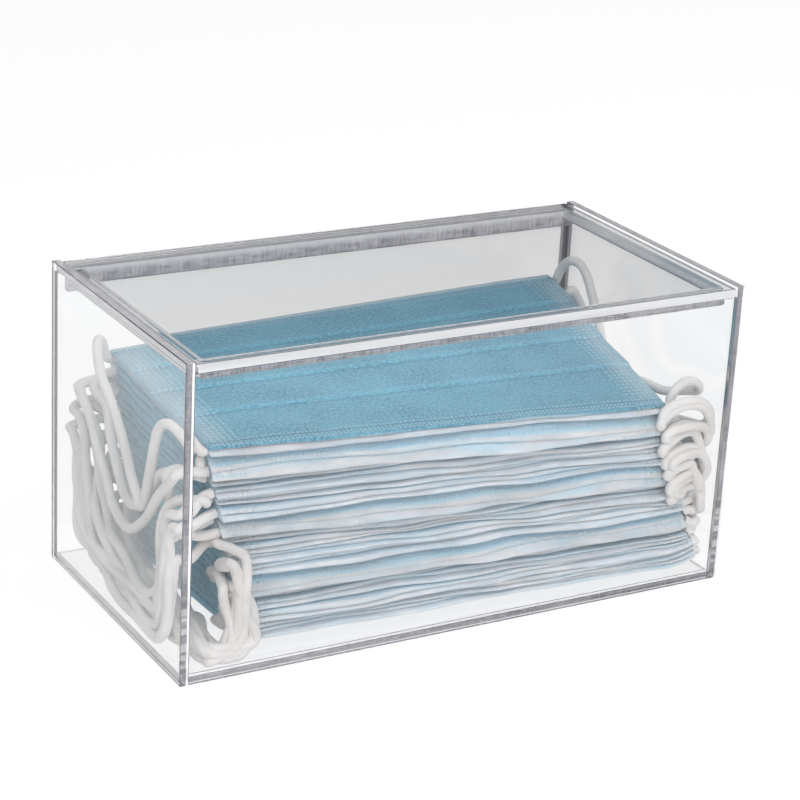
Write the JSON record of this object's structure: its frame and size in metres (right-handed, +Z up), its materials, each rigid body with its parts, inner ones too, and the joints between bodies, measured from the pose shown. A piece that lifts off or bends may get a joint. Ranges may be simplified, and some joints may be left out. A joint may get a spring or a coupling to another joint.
{
  "type": "face mask dispenser box",
  "caption": "Clear acrylic bench box with a lift-off lid, filled with a leaning stack of pleated blue face masks whose ear loops bunch up beside the stack",
  "frame": {"origin": "on the table, under the middle of the box", "axes": "+X along the length of the box to its right end, -Y towards the front, +Z up"},
  "size_m": [0.21, 0.1084, 0.1096],
  "materials": {
    "clear_acrylic": "clear, polished faces and saw-cut edges",
    "mask_cloth": "blue nonwoven outside, white inside and at the folded edges",
    "elastic": "soft round knitted elastic, ivory white"
  },
  "bodies": {
    "root": {"base_panel": "clear_acrylic", "front_panel": "clear_acrylic", "rear_panel": "clear_acrylic", "left_end_panel": "clear_acrylic", "right_end_panel": "clear_acrylic", "lid_plate": "clear_acrylic", "lid_front_strip": "clear_acrylic", "lid_rear_strip": "clear_acrylic", "lid_left_strip": "clear_acrylic", "lid_right_strip": "clear_acrylic", "mask_01": "mask_cloth", "mask_02": "mask_cloth", "mask_03": "mask_cloth", "mask_04": "mask_cloth", "mask_05": "mask_cloth", "mask_06": "mask_cloth", "mask_07": "mask_cloth", "mask_08": "mask_cloth", "mask_09": "mask_cloth", "mask_10": "mask_cloth", "mask_11": "mask_cloth", "mask_12": "mask_cloth", "mask_13": "mask_cloth", "mask_14": "mask_cloth", "mask_15": "mask_cloth", "mask_16": "mask_cloth", "mask_17": "mask_cloth", "mask_18": "mask_cloth", "mask_19": "mask_cloth", "mask_20": "mask_cloth", "ear_loops_01": "elastic", "ear_loops_02": "elastic", "ear_loops_03": "elastic", "ear_loops_04": "elastic", "ear_loops_05": "elastic", "ear_loops_06": "elastic", "ear_loops_07": "elastic", "ear_loops_08": "elastic", "ear_loops_09": "elastic", "ear_loops_10": "elastic", "ear_loops_11": "elastic", "ear_loops_12": "elastic", "ear_loops_13": "elastic", "ear_loops_14": "elastic", "ear_loops_15": "elastic", "ear_loops_16": "elastic", "ear_loops_17": "elastic", "ear_loops_18": "elastic", "ear_loops_19": "elastic", "ear_loops_20": "elastic"}
  },
  "joints": []
}
